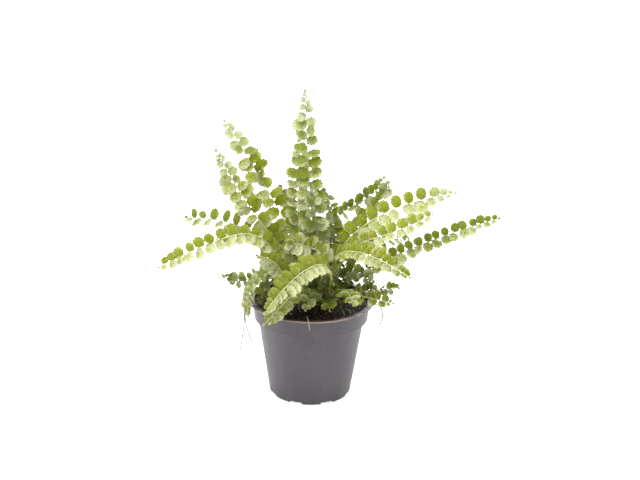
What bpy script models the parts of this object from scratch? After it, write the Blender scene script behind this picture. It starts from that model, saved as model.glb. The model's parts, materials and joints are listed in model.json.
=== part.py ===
"""A button fern in its nursery pot: moulded pot, potting soil, fronds and wiry runners.

Metres, +Z up. The origin is the middle of the pot's underside, on the surface that it
stands on. +X is to the right and -Y to the front. Tables give millimetres.
"""

import math

import bmesh
import bpy
import numpy as np
from mathutils import Matrix, Vector

MM = 0.001
FIT_GAP = 0.3 * MM

# Pot: a thin moulded shell with a stepped collar and a lip that turns out
POT_HEIGHT = 94 * MM
LIP_RADIUS = 60 * MM
LIP_THICKNESS = 1.6 * MM
COLLAR_TOP_RADIUS = 56.2 * MM
COLLAR_FOOT_RADIUS = 54.5 * MM
COLLAR_FOOT = 76 * MM
STEP_FOOT = 74 * MM
STEP_TOP = 77.5 * MM
BODY_TOP_RADIUS = 50.8 * MM
BODY_FOOT_RADIUS = 39.4 * MM
WALL = 1.5 * MM
FLOOR_UNDERSIDE = 3.2 * MM
FLOOR_TOP = 4.8 * MM
POT_SIDES = 32

# The pot stands on a notched ring and on a round boss in the middle
BOSS_RADIUS = 12 * MM
NOTCHES = 8
NOTCH_HEIGHT = 2.2 * MM
NOTCH_WIDTH = 12.5 * MM
FIRST_NOTCH = -110
DRAIN_HOLES = 6
DRAIN_HOLE_RADIUS = 3.5 * MM
DRAIN_RING_RADIUS = 25 * MM

# Soil: fills the pot to just under the lip
SOIL_EDGE = 90.6 * MM
SOIL_CROWN = 91.8 * MM
SOIL_LUMP = 0.7 * MM
SOIL_RINGS = (0.36, 0.70)
SOIL_SEED = 11
SOIL_WALL_GAP = 0.5 * MM

# Every stem stands in a plain square hole in the soil, and is straight up to its mouth
STEM_FOOT = 83 * MM
STEM_STRAIGHT = 93 * MM

# Frond: a rib with round leaflets in pairs, which are largest below its middle
STIPE_WIDTH = 1.9 * MM
RIB_WIDTH = 1.3 * MM
RIB_THICKNESS = 1.1 * MM
TIP_WIDTH = 0.8 * MM
LEAFLET_THICKNESS = 0.6 * MM
LEAFLET_SPACING = 11.4 * MM
LEAFLET_FILL = 0.90
NECK_SHARE = 0.22
LEAFLET_LEAN = 14
INSIDE_BEND = 0.8
STIPE_RINGS = 4
CURVE_POINTS = 160
RUNNER_WIDTH = 1.2 * MM
RUNNER_RINGS = 3

# A leaflet's outline, from its foot near the root round to its foot near the tip: shares
# of its width along the rib, and of its length out from the rib
SMALL_OUTLINE = ((-0.50, 0.40), (-0.33, 0.90), (0.33, 0.97), (0.50, 0.45))
LARGE_OUTLINE = ((-0.50, 0.36), (-0.40, 0.80), (0.04, 1.00), (0.42, 0.80), (0.50, 0.40))
LARGE_LEAFLET = 11.8 * MM

# Fronds, in millimetres. Each row holds the ring radius and azimuth of the root, the two
# points that bend the rib, the tip, where the upper face looks (azimuth, elevation), the
# bare length of the stipe, a leaflet's length, how many degrees leaflets rise, and the age
FRONDS = {
    "tall_front": ((6, 60), (3, 4, 179), (-5, 8, 180), (-9, 20, 290), (-90, 10), 40, 12.5, 8, "mature"),
    "tall_back": ((7, 158), (-17, 10, 179), (-14, 29, 177), (-13, 51, 243), (-90, 10), 44, 11, 8, "mature"),
    "left_upper": (
        (13, 135), (-4, 8, 135), (-18, 30, 150), (-85, 50, 254), (-80, 15), 40, 11.5, 8, "young",
    ),
    "left_middle": ((17, 181), (4, 5, 138), (-32, 7, 119), (-90, 8, 235), (-80, 15), 36, 10.5, 8, "young"),
    "left_level": (
        (18, 150), (-27, 11, 151), (-69, 24, 166), (-122, 37, 161), (-95, 60), 40, 9.5, 25, "mature",
    ),
    "left_long": (
        (18, 190), (-42, -7, 186), (-63, -12, 169), (-141, -28, 134), (-85, 36), 38, 10.5, 8, "young",
    ),
    "left_short": (
        (20, 219), (-27, -22, 100), (-18, -36, 146), (-49, -52, 155), (-90, 35), 24, 9, 10, "young",
    ),
    "left_low": ((23, 178), (-30, -1, 153), (-58, -3, 92), (-84, -10, 121), (-100, 55), 28, 8.5, 10, "old"),
    "left_droop": (
        (22, 207), (-25, -12, 124), (-62, -28, 150), (-59, -37, 88), (-150, 70), 25, 8, 10, "old",
    ),
    "front_left": (
        (25, -60), (32, -50, 175), (-13, -61, 151), (-41, -63, 105), (-100, 45), 30, 11, 12, "young",
    ),
    "front_left_low": (
        (24, -119), (-9, -34, 125), (-16, -48, 117), (-42, -61, 93), (-90, 60), 22, 10, 10, "young",
    ),
    "front_centre": ((20, -93), (-1, -34, 122), (1, -43, 126), (-5, -57, 105), (90, 70), 18, 9, 10, "old"),
    "front_right_low": (
        (26, -45), (25, -20, 116), (33, -35, 123), (38, -58, 111), (90, 70), 24, 8.5, 10, "mature",
    ),
    "crossing": (
        (10, -78), (16, -33, 129), (32, -22, 152), (-24, -34, 162), (-90, 45), 34, 10, 12, "young",
    ),
    "centre_left": (
        (10, -155), (-9, -10, 111), (-5, -24, 133), (-25, -34, 157), (-95, 35), 26, 9.5, 10, "young",
    ),
    "centre_dark": ((8, -60), (6, -5, 178), (1, -12, 178), (0, -2, 205), (-90, 10), 30, 11, 10, "old"),
    "centre_slim": ((11, 50), (16, 15, 130), (32, 17, 158), (9, 20, 200), (-110, 15), 38, 7.5, 8, "mature"),
    "right_inner": ((15, 78), (6, 24, 200), (49, 50, 156), (69, 68, 195), (-90, 20), 50, 9.5, 10, "mature"),
    "right_upper": (
        (18, 50), (23, 20, 142), (48, 30, 153), (74, 38, 201), (-90, 20), 40, 9.5, 10, "mature",
    ),
    "right_level": ((13, 19), (14, 8, 176), (104, 3, 196), (130, -6, 203), (-90, 35), 44, 11, 12, "young"),
    "right_middle": (
        (15, -2), (37, -4, 176), (31, -18, 140), (108, -34, 191), (-90, 40), 42, 10, 12, "young",
    ),
    "right_long": ((20, 14), (26, 5, 110), (83, 10, 144), (174, 2, 177), (-90, 42), 38, 9.2, 12, "mature"),
    "right_front": (
        (25, -22), (8, 5, 128), (16, -19, 176), (88, -55, 138), (-80, 48), 32, 10.5, 12, "young",
    ),
    "right_low": ((30, -4), (38, 0, 110), (58, -10, 102), (83, -14, 114), (-80, 55), 16, 7.5, 10, "mature"),
    "right_short": ((24, 4), (29, 2, 127), (41, -4, 131), (59, -8, 111), (-80, 50), 16, 8.5, 10, "old"),
    "right_droop": (
        (32, -29), (31, -16, 111), (42, -28, 109), (75, -39, 106), (-70, 45), 20, 8, 10, "young",
    ),
    "left_inner": (
        (26, 186), (-28, -5, 118), (-42, -8, 124), (-48, -13, 97), (0, 70), 18, 8.5, 10, "mature",
    ),
    "front_inner": ((26, -71), (12, -33, 110), (14, -41, 111), (17, -53, 103), (90, 70), 20, 9, 10, "mature"),
    "inner_left": (
        (10, 110), (-9, 9, 114), (-11, 40, 138), (-32, 66, 186), (-80, 15), 40, 9.5, 10, "mature",
    ),
    "back_left": (
        (20, 150), (-30, 18, 150), (-62, 48, 150), (-104, 78, 120), (-150, 60), 44, 10, 12, "mature",
    ),
    "back_left_inner": (
        (18, 125), (-26, 28, 145), (-50, 64, 150), (-72, 104, 114), (130, 60), 46, 10, 12, "old",
    ),
    "back_middle": ((17, 92), (-2, 26, 160), (2, 78, 150), (8, 122, 112), (90, 60), 46, 10.5, 12, "mature"),
    "back_right_inner": (
        (17, 65), (14, 28, 160), (40, 66, 152), (62, 104, 118), (60, 60), 46, 10, 12, "old",
    ),
    "back_right": ((22, 28), (34, 24, 146), (70, 48, 148), (108, 74, 124), (-40, 60), 44, 10, 12, "mature"),
}


# Wiry runners and bare roots, in millimetres: where each leaves the soil, and the points
# that it passes through on its way to its free end
RUNNERS = {
    "runner_right": (
        (44, -14), (50, -16, 95), (60, -19, 96.6), (65.5, -20, 94), (67.5, -20, 85),
        (65.5, -20, 76), (68, -20, 74),
    ),
    "runner_left_long": (
        (-48, -8), (-54, -9, 96), (-61, -10, 95.8), (-64, -10, 89), (-64, -10, 70),
        (-67.5, -10, 44),
    ),
    "runner_left_short": (
        (-46, -17), (-52, -19, 95.6), (-59, -22, 95.4), (-62, -23, 88), (-61, -24, 74),
        (-56, -25, 59),
    ),
    "runner_front": ((-4, -44), (-4, -50, 94), (-3, -57, 96.4), (-2, -62.5, 95), (-1, -63, 88)),
    "root_front_inner": ((26, -24), (27, -27, 97), (29, -34, 95.5), (31, -40, 93.8)),
    "root_front_outer": ((31, -26), (32, -28, 96), (35, -32, 95.4), (37, -36, 93.8)),
}


def polar(radius, azimuth, height=0.0):
    """A point at this radius and azimuth, in degrees, round the pot's axis."""
    angle = math.radians(azimuth)
    return Vector((radius * math.cos(angle), radius * math.sin(angle), height))


def material(name, colour, roughness):
    """A Principled material in linear colour."""
    made = bpy.data.materials.new(name)
    made.use_nodes = True
    shader = made.node_tree.nodes["Principled BSDF"]
    shader.inputs["Base Color"].default_value = (*colour, 1.0)
    shader.inputs["Roughness"].default_value = roughness
    shader.inputs["Metallic"].default_value = 0.0
    made.diffuse_color = (*colour, 1.0)
    return made


def add_object(name, mesh, finish):
    """Links the mesh as one named object."""
    mesh.materials.append(finish)
    made = bpy.data.objects.new(name, mesh)
    bpy.context.scene.collection.objects.link(made)
    return made


def mesh_from(name, points, faces):
    """A closed mesh whose faces all point out."""
    shape = bmesh.new()
    corners = [shape.verts.new(p) for p in points]
    for face in faces:
        shape.faces.new([corners[i] for i in face])
    bmesh.ops.recalc_face_normals(shape, faces=shape.faces)
    mesh = bpy.data.meshes.new(name)
    shape.to_mesh(mesh)
    shape.free()
    return mesh


def turned(name, profile, sides):
    """A solid of revolution. The profile runs from the axis round to the axis again."""
    shape = bmesh.new()
    chain = [shape.verts.new((radius, 0, height)) for radius, height in profile]
    edges = [shape.edges.new(pair) for pair in zip(chain, chain[1:])]
    bmesh.ops.spin(
        shape,
        geom=chain + edges,
        cent=(0, 0, 0),
        axis=(0, 0, 1),
        angle=2 * math.pi,
        steps=sides,
        use_merge=True,
    )
    bmesh.ops.remove_doubles(shape, verts=shape.verts, dist=0.01 * MM)
    bmesh.ops.recalc_face_normals(shape, faces=shape.faces)
    mesh = bpy.data.meshes.new(name)
    shape.to_mesh(mesh)
    shape.free()
    return mesh


def box_mesh(name, width, depth, height, place):
    """A box centred on the origin and then moved by the matrix."""
    shape = bmesh.new()
    bmesh.ops.create_cube(shape, size=1.0)
    bmesh.ops.scale(shape, vec=(width, depth, height), verts=shape.verts)
    bmesh.ops.transform(shape, matrix=place, verts=shape.verts)
    mesh = bpy.data.meshes.new(name)
    shape.to_mesh(mesh)
    shape.free()
    return mesh


def round_bar(radius, height, centre):
    """An upright eight-sided bar."""
    shape = bmesh.new()
    place = Matrix.Translation(centre)
    bmesh.ops.create_cone(
        shape, cap_ends=True, segments=8, radius1=radius, radius2=radius, depth=height, matrix=place
    )
    mesh = bpy.data.meshes.new("round_bar")
    shape.to_mesh(mesh)
    shape.free()
    return mesh


def cut_away(body, cutter_meshes):
    """Takes the cutters out of the body with one Boolean, then removes them."""
    cutters = bpy.data.collections.new(body.name + "_cutters")
    bpy.context.scene.collection.children.link(cutters)
    for number, mesh in enumerate(cutter_meshes):
        cutter = bpy.data.objects.new(f"{body.name}_cutter_{number}", mesh)
        cutter.hide_render = True
        cutter.display_type = "WIRE"
        cutters.objects.link(cutter)
    cut = body.modifiers.new("cut", "BOOLEAN")
    cut.operation = "DIFFERENCE"
    cut.operand_type = "COLLECTION"
    cut.collection = cutters
    cut.solver = "EXACT"
    bpy.context.view_layer.update()
    graph = bpy.context.evaluated_depsgraph_get()
    result = bpy.data.meshes.new_from_object(body.evaluated_get(graph))
    body.modifiers.remove(cut)
    body.data = result
    for cutter in list(cutters.objects):
        bpy.data.objects.remove(cutter)
    bpy.data.collections.remove(cutters)


def inner_radius(height):
    """The radius of the pot's inner wall at this height."""
    if height >= COLLAR_FOOT:
        share = (height - COLLAR_FOOT) / (POT_HEIGHT - LIP_THICKNESS - COLLAR_FOOT)
        outer = COLLAR_FOOT_RADIUS + share * (COLLAR_TOP_RADIUS - COLLAR_FOOT_RADIUS)
    else:
        outer = BODY_FOOT_RADIUS + height / COLLAR_FOOT * (BODY_TOP_RADIUS - BODY_FOOT_RADIUS)
    return outer - WALL


def build_pot(finish):
    lip_underside = POT_HEIGHT - LIP_THICKNESS
    profile = (
        (0, 0),
        (BOSS_RADIUS, 0),
        (BOSS_RADIUS, FLOOR_UNDERSIDE),
        (BODY_FOOT_RADIUS - 1.9 * MM, FLOOR_UNDERSIDE),
        (BODY_FOOT_RADIUS - 1.9 * MM, 0),
        (BODY_FOOT_RADIUS - 0.5 * MM, 0),
        (BODY_FOOT_RADIUS, 1.2 * MM),
        (BODY_TOP_RADIUS, COLLAR_FOOT - 0.6 * MM),
        (COLLAR_FOOT_RADIUS, COLLAR_FOOT),
        (COLLAR_TOP_RADIUS, lip_underside),
        (LIP_RADIUS, lip_underside),
        (LIP_RADIUS, POT_HEIGHT),
        (COLLAR_TOP_RADIUS - WALL, POT_HEIGHT),
        (inner_radius(STEP_TOP), STEP_TOP),
        (inner_radius(STEP_FOOT), STEP_FOOT),
        (inner_radius(FLOOR_TOP), FLOOR_TOP),
        (0, FLOOR_TOP),
    )
    pot = add_object("pot", turned("pot", profile, POT_SIDES), finish)
    cutters = []
    for k in range(NOTCHES):
        azimuth = FIRST_NOTCH + k * 360 / NOTCHES
        place = Matrix.Translation(polar(BODY_FOOT_RADIUS, azimuth))
        place @= Matrix.Rotation(math.radians(azimuth), 4, "Z")
        cutters.append(box_mesh("notch", 6 * MM, NOTCH_WIDTH, 2 * NOTCH_HEIGHT, place))
    for k in range(DRAIN_HOLES):
        centre = polar(DRAIN_RING_RADIUS, k * 360 / DRAIN_HOLES, FLOOR_UNDERSIDE)
        cutters.append(round_bar(DRAIN_HOLE_RADIUS, 10 * MM, centre))
    cut_away(pot, cutters)
    pot.data.shade_smooth()
    pot.data.set_sharp_from_angle(angle=math.radians(30))


def soil_height(radius, draw):
    """The lumpy top of the soil, highest in the middle."""
    share = radius / inner_radius(SOIL_EDGE)
    dome = SOIL_EDGE + (SOIL_CROWN - SOIL_EDGE) * (1 - share**2)
    return dome + draw.uniform(-SOIL_LUMP, SOIL_LUMP) * (1 - share**4)


def build_soil(stems, finish):
    """The soil, with a plain hole under each stem. stems holds (x, y, width)."""
    draw = np.random.default_rng(SOIL_SEED)
    points, rings = [], []
    turns = [360 * k / POT_SIDES for k in range(POT_SIDES)]

    def add_ring(radius, height_at):
        rings.append(range(len(points), len(points) + POT_SIDES))
        points.extend(polar(radius, turn, height_at(radius)) for turn in turns)

    for level in (FLOOR_TOP, STEP_FOOT, STEP_TOP):
        add_ring(inner_radius(level) - SOIL_WALL_GAP, lambda _, z=level: z + SOIL_WALL_GAP)
    edge = inner_radius(SOIL_EDGE) - SOIL_WALL_GAP
    for share in (1.0, *reversed(SOIL_RINGS)):
        add_ring(share * edge, lambda radius: soil_height(radius, draw))
    faces = [tuple(rings[0])]
    for low, high in zip(rings, rings[1:]):
        for k in range(POT_SIDES):
            n = (k + 1) % POT_SIDES
            faces += [(low[k], low[n], high[n]), (low[k], high[n], high[k])]
    points.append(Vector((0, 0, SOIL_CROWN)))
    top = len(points) - 1
    faces += [(rings[-1][k], rings[-1][(k + 1) % POT_SIDES], top) for k in range(POT_SIDES)]
    soil = add_object("soil", mesh_from("soil", points, faces), finish)
    cutters = []
    for x, y, width in stems:
        side = width + 2 * FIT_GAP
        low = STEM_FOOT - FIT_GAP
        height = SOIL_CROWN + 5 * MM - low
        turn = Matrix.Rotation(math.atan2(y, x), 4, "Z")
        place = Matrix.Translation((x, y, low + height / 2)) @ turn
        cutters.append(box_mesh("stem_hole", side, side, height, place))
    cut_away(soil, cutters)


def bezier(p0, p1, p2, p3, count):
    """Points along a cubic curve."""
    t = np.linspace(0, 1, count)[:, None]
    return (1 - t) ** 3 * p0 + 3 * t * (1 - t) ** 2 * p1 + 3 * t**2 * (1 - t) * p2 + t**3 * p3


class Rib:
    """The line of a frond: straight up out of the soil, then along its curve.

    The upper face looks the given way halfway along the blade. From there it is carried
    both ways along the rib without twisting.
    """

    def __init__(self, root, bends, tip, bare, face):
        self.root = root
        foot = np.array((*root[:2], STEM_FOOT))
        start = np.array((*root[:2], STEM_STRAIGHT))
        self.points = np.vstack([foot, bezier(start, *bends, tip, CURVE_POINTS)])
        steps = np.linalg.norm(np.diff(self.points, axis=0), axis=1)
        self.along = np.concatenate([[0], np.cumsum(steps)])
        self.length = self.along[-1]
        self.bare = bare
        last = len(self.points) - 1
        headings = [self.heading(s) for s in self.along]
        self.normals = np.zeros_like(self.points)
        middle = int(np.searchsorted(self.along, (bare + self.length) / 2))
        self.normals[middle] = square_to(face, headings[middle])
        for k in range(middle + 1, last + 1):
            self.normals[k] = square_to(self.normals[k - 1], headings[k])
        for k in range(middle - 1, -1, -1):
            self.normals[k] = square_to(self.normals[k + 1], headings[k])

    def at(self, s):
        return np.array([np.interp(s, self.along, self.points[:, k]) for k in range(3)])

    def heading(self, s):
        reach = 1.5 * MM
        return unit(self.at(min(s + reach, self.length)) - self.at(max(s - reach, 0)))

    def bend(self, s):
        """How fast the heading turns at s, as a vector."""
        reach = 4 * MM
        ahead, behind = min(s + reach, self.length), max(s - reach, 0)
        return (self.heading(ahead) - self.heading(behind)) / (ahead - behind)

    def axes(self, s):
        """The rib's heading, its left side and the normal of its upper face at s."""
        heading = self.heading(s)
        near = [np.interp(s, self.along, self.normals[:, k]) for k in range(3)]
        normal = square_to(np.array(near), heading)
        return heading, np.cross(normal, heading), normal

    def stem_axes(self, s):
        """As axes, but square to the root's own hole where the stem leaves the soil."""
        heading, _, normal = self.axes(s)
        out = unit(np.array((*self.root[:2], 0.0)))
        side = np.cross((0, 0, 1.0), out)
        square = max((out, side, -out, -side), key=lambda v: float(np.dot(v, self.normals[0])))
        straight = STEM_STRAIGHT - STEM_FOOT
        share = min(1.0, max(0.0, (s - straight) / (self.bare - straight)))
        normal = square_to((1 - share) * square + share * normal, heading)
        return heading, np.cross(normal, heading), normal


def unit(v):
    return v / np.linalg.norm(v)


def square_to(v, heading):
    """The part of v that stands square to the heading, one unit long."""
    return unit(v - np.dot(v, heading) * heading)


def leaflet_size(share):
    """Leaflet size along the blade, 0 at its foot and 1 at its tip."""
    start = min(1.0, 0.62 + 1.5 * share)
    end = 1 - 0.62 * max(0.0, (share - 0.5) / 0.5) ** 1.5
    return start * end


def leaflet_stations(blade):
    """Places of the pairs as shares of the blade, and each pair's room along it."""
    pairs = max(3, round(blade / LEAFLET_SPACING))
    rooms = [leaflet_size((k + 0.5) / pairs) ** 0.8 for k in range(pairs)]
    rooms = [room / sum(rooms) for room in rooms]
    starts = np.concatenate([[0], np.cumsum(rooms)])
    return [((a + b) / 2, (b - a) * blade) for a, b in zip(starts, starts[1:])]


def frond_mesh(name, rib, leaflet, lift):
    """One closed body: a square rib and a thin leaflet on each side at every pair."""
    points, faces, rings = [], [], []

    def add_ring(s, width, thickness, axes):
        along, left, normal = axes
        centre = rib.at(s)
        rings.append(len(points))
        for side, up in ((1, 1), (-1, 1), (-1, -1), (1, -1)):
            points.append(centre + side * width / 2 * left + up * thickness / 2 * normal)

    def join(low, high, skip_sides):
        for k in range(4):
            n = (k + 1) % 4
            if skip_sides and k in (1, 3):
                continue
            faces.append((low + k, low + n, high + n, high + k))

    def add_leaflet(side, low, high, axes, length, width, centre):
        along, left, normal = axes
        lean = math.radians(LEAFLET_LEAN)
        out = unit(math.cos(lean) * side * left + math.sin(lean) * along)
        rise = math.radians(lift)
        out = unit(math.cos(rise) * out + math.sin(rise) * normal)
        across = square_to(along, out)
        up = np.cross(across, out) * side
        start = centre + side * RIB_WIDTH / 2 * left
        outline = LARGE_OUTLINE if length > LARGE_LEAFLET else SMALL_OUTLINE
        first = len(points)
        for z in (1, -1):
            for a, b in outline:
                spot = start + a * width * across + b * length * out
                points.append(spot + z * LEAFLET_THICKNESS / 2 * up)
        count = len(outline)
        # Ring corners: 0 left top, 1 right top, 2 right bottom, 3 left bottom
        top_corner, bottom_corner = (0, 3) if side > 0 else (1, 2)
        for corner, base in ((top_corner, first), (bottom_corner, first + len(outline))):
            p = [base + k for k in range(count)]
            a, b = low + corner, high + corner
            split = [(a, p[0], p[-1]), (a, p[-1], b)]
            if count == 4:
                split += [(p[0], p[1], p[2]), (p[0], p[2], p[3])]
            else:
                split += [(p[0], p[1], p[3]), (p[0], p[3], p[4]), (p[1], p[2], p[3])]
            faces.extend(split)
        second = first + count
        loop_top = [low + top_corner, *range(first, second), high + top_corner]
        loop_low = [low + bottom_corner, *range(second, second + count), high + bottom_corner]
        for k in range(len(loop_top) - 1):
            faces.append((loop_top[k], loop_top[k + 1], loop_low[k + 1]))
            faces.append((loop_top[k], loop_low[k + 1], loop_low[k]))

    straight = STEM_STRAIGHT - STEM_FOOT
    add_ring(0, STIPE_WIDTH, STIPE_WIDTH, rib.stem_axes(0))
    faces.append((rings[0], rings[0] + 1, rings[0] + 2, rings[0] + 3))
    for k in range(STIPE_RINGS):
        s = straight + (rib.bare - straight) * k / STIPE_RINGS
        add_ring(s, STIPE_WIDTH, STIPE_WIDTH, rib.stem_axes(s))
        join(rings[-2], rings[-1], False)
    blade = rib.length - rib.bare - 2 * MM
    for share, room in leaflet_stations(blade):
        s = rib.bare + share * blade
        size = leaflet_size(share)
        neck = NECK_SHARE * room
        width = RIB_WIDTH + (TIP_WIDTH - RIB_WIDTH) * share
        thickness = RIB_THICKNESS + (TIP_WIDTH - RIB_THICKNESS) * share
        for end in (s - neck, s + neck):
            add_ring(end, width, thickness, rib.axes(end))
            join(rings[-2], rings[-1], end > s)
        axes, bend = rib.axes(s), rib.bend(s)
        for side in (1, -1):
            length = leaflet * size
            crowding = max(0.0, float(np.dot(bend, side * axes[1]))) * length
            width = LEAFLET_FILL * room * (1 - min(0.5, INSIDE_BEND * crowding))
            add_leaflet(side, rings[-2], rings[-1], axes, length, width, rib.at(s))
    add_ring(rib.length, TIP_WIDTH, TIP_WIDTH, rib.axes(rib.length - 1 * MM))
    join(rings[-2], rings[-1], False)
    faces.append(tuple(rings[-1] + k for k in (3, 2, 1, 0)))
    return mesh_from(name, points, faces)


def build_frond(name, row, finishes):
    (ring, azimuth), rise, shoulder, tip, (turn, pitch), bare, leaflet, lift, age = row
    root = np.array(polar(ring * MM, azimuth))
    rise, shoulder, tip = (np.array(p) * MM for p in (rise, shoulder, tip))
    face = np.array(polar(math.cos(math.radians(pitch)), turn, math.sin(math.radians(pitch))))
    rib = Rib(root, (rise, shoulder), tip, bare * MM, face)
    mesh = frond_mesh(name, rib, leaflet * MM, lift)
    add_object("frond_" + name, mesh, finishes[age])
    return root[0], root[1], STIPE_WIDTH


def smooth_path(points, count):
    """An even curve through the points: a Catmull-Rom spline."""
    ends = [2 * points[0] - points[1], *points, 2 * points[-1] - points[-2]]
    path = [points[0]]
    for a, b, c, d in zip(ends, ends[1:], ends[2:], ends[3:]):
        for t in np.linspace(0, 1, count + 1)[1:]:
            bend = (2 * a - 5 * b + 4 * c - d) * t**2 + (3 * b - a - 3 * c + d) * t**3
            path.append(b + 0.5 * ((c - a) * t + bend))
    return path


def build_runner(name, row, finish):
    """A thin square strand that stands in its hole and trails to its free end."""
    root = np.array((*row[0], 0.0)) * MM
    foot = root + (0, 0, STEM_FOOT)
    start = root + (0, 0, STEM_STRAIGHT)
    route = [start, *(np.array(p) * MM for p in row[1:])]
    path = [foot, *smooth_path(route, RUNNER_RINGS)]
    side = np.array((*unit(root[:2]), 0.0))
    points, faces = [], []
    for k, centre in enumerate(path):
        ahead, behind = path[min(k + 1, len(path) - 1)], path[max(k - 1, 0)]
        along = unit(ahead - behind) if k > 1 else np.array((0, 0, 1.0))
        side = square_to(side, along)
        other = np.cross(along, side)
        for a, b in ((1, 1), (-1, 1), (-1, -1), (1, -1)):
            points.append(centre + RUNNER_WIDTH / 2 * (a * side + b * other))
    faces.append((0, 1, 2, 3))
    for k in range(0, 4 * (len(path) - 1), 4):
        faces += [(k + a, k + (a + 1) % 4, k + 4 + (a + 1) % 4, k + 4 + a) for a in range(4)]
    faces.append(tuple(len(points) - k for k in (1, 2, 3, 4)))
    add_object(name, mesh_from(name, points, faces), finish)
    return root[0], root[1], RUNNER_WIDTH


def build():
    for old in list(bpy.data.objects):
        bpy.data.objects.remove(old)
    build_pot(material("pot_plastic", (0.145, 0.130, 0.140), 0.45))
    finishes = {
        "young": material("frond_young", (0.40, 0.52, 0.10), 0.5),
        "mature": material("frond_mature", (0.22, 0.34, 0.05), 0.5),
        "old": material("frond_old", (0.12, 0.22, 0.04), 0.5),
    }
    runner = material("runner", (0.48, 0.40, 0.22), 0.6)
    stems = [build_frond(name, row, finishes) for name, row in FRONDS.items()]
    stems += [build_runner(name, row, runner) for name, row in RUNNERS.items()]
    build_soil(stems, material("soil", (0.020, 0.013, 0.010), 0.95))


build()
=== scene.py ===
"""A button fern in its nursery pot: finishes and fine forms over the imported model.

Metres, +Z up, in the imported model's frame: the pot stands on the origin and its front
looks along -Y. Each fine piece keeps the place and form of the CAD node that it replaces.
"""

import json
import math
from functools import partial

import bmesh
import bpy
import numpy as np
from mathutils import Matrix, Vector, noise

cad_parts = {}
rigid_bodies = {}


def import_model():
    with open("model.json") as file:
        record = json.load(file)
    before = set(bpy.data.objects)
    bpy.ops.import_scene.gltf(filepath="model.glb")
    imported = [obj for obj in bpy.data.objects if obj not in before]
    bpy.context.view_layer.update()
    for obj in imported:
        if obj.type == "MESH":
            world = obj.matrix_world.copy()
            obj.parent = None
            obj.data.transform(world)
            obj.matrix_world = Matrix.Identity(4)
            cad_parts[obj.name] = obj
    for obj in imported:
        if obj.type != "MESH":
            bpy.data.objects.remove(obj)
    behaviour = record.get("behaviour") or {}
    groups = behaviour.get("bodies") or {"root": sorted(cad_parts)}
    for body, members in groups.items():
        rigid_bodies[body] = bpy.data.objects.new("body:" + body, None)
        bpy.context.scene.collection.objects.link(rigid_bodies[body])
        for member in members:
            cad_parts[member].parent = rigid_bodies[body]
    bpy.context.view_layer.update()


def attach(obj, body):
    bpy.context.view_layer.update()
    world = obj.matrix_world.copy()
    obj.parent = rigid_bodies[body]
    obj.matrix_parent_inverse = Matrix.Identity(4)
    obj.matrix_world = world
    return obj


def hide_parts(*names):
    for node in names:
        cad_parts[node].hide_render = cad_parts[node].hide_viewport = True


MM = 0.001

# Camera: where the photo was taken from, as the pot's ellipses give it
CAMERA_PLACE = (-0.2 * MM, -1045.2 * MM, 510.4 * MM)
CAMERA_PITCH = -18.866
CAMERA_YAW = 0.398
CAMERA_ROLL = 1.186
CAMERA_LENS = 65.9
SENSOR_WIDTH = 36.0

# Studio: white paper, a bright room, and softboxes, each with its place, size and watts
PAPER_REACH = 12.0
PAPER_GLOW = 0.72
ROOM_LIGHT = 0.5
LAMP_AIM = (0, 0, 0.12)
SOFTBOXES = {
    "top_softbox": ((-0.25, -0.35, 1.7), 0.8, 41),
    "back_softbox": ((0.3, 1.5, 1.1), 0.9, 38),
    "left_softbox": ((-1.4, -1.2, 0.9), 0.8, 13),
}

# Pot, as in the part's source
POT_HEIGHT = 94 * MM
LIP_RADIUS = 60 * MM
LIP_THICKNESS = 1.6 * MM
COLLAR_TOP_RADIUS = 56.2 * MM
COLLAR_FOOT_RADIUS = 54.5 * MM
COLLAR_FOOT = 76 * MM
STEP_FOOT = 74 * MM
STEP_TOP = 77.5 * MM
BODY_TOP_RADIUS = 50.8 * MM
BODY_FOOT_RADIUS = 39.4 * MM
STEP_SLOPE = 0.6 * MM
FOOT_RING = 1.9 * MM
FOOT_CHAMFER = (0.5 * MM, 1.2 * MM)
WALL = 1.5 * MM
FLOOR_UNDERSIDE = 3.2 * MM
FLOOR_TOP = 4.8 * MM
BOSS_RADIUS = 12 * MM
NOTCHES = 8
NOTCH_HEIGHT = 2.2 * MM
NOTCH_WIDTH = 12.5 * MM
FIRST_NOTCH = -110
DRAIN_HOLES = 6
DRAIN_HOLE_RADIUS = 3.5 * MM
DRAIN_RING_RADIUS = 25 * MM
POT_TURNS = 128
EDGE_ROUNDING = 0.5 * MM
ARC_STEPS = 3
SHARP_ANGLE = 32

# Soil: a lumpy dome under the lip, with loose crumbs on it
SOIL_EDGE = 90.6 * MM
SOIL_CROWN = 91.8 * MM
SOIL_GAP = 0.5 * MM
SOIL_RINGS = 44
SOIL_TURNS = 120
SOIL_TONE = 0.2
CLOD_SIZE = 7 * MM
CLOD_HEIGHT = 1.6 * MM
GRAIN_SIZE = 2 * MM
GRAIN_HEIGHT = 0.5 * MM
CRUMBS_PER_M2 = 330000
CRUMB_SIZE = (0.6 * MM, 1.9 * MM)

# Stems leave the soil straight up
STEM_FOOT = 83 * MM
STEM_STRAIGHT = 93 * MM

# Fronds: a round rib, and leaflets in pairs that overlap a little like tiles
STIPE_RADIUS = 0.75 * MM
TIP_RADIUS = 0.32 * MM
RIB_SIDES = 7
CURVE_POINTS = 160
LEAFLET_LEAN = 14
TILE_TILT = 12
STAGGER = 0.2
SIZE_SPREAD = 0.18
LOWEST_LEAFLET = 5 * MM
LOW_SPACING = 4.5 * MM
LOW_ROOM = 0.8
LONG_LIMIT = 1.1
RIB_STEP = 3 * MM
BARE_TIP = 2 * MM
TIP_LEAFLET = (0.28, 0.32)

# Leaflets grow from this share of their size at the blade's foot, and taper near its tip
FIRST_SIZE = 0.62
GROWTH = 1.5
TAPER_START = 0.72
TAPER_POWER = 1.5

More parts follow.
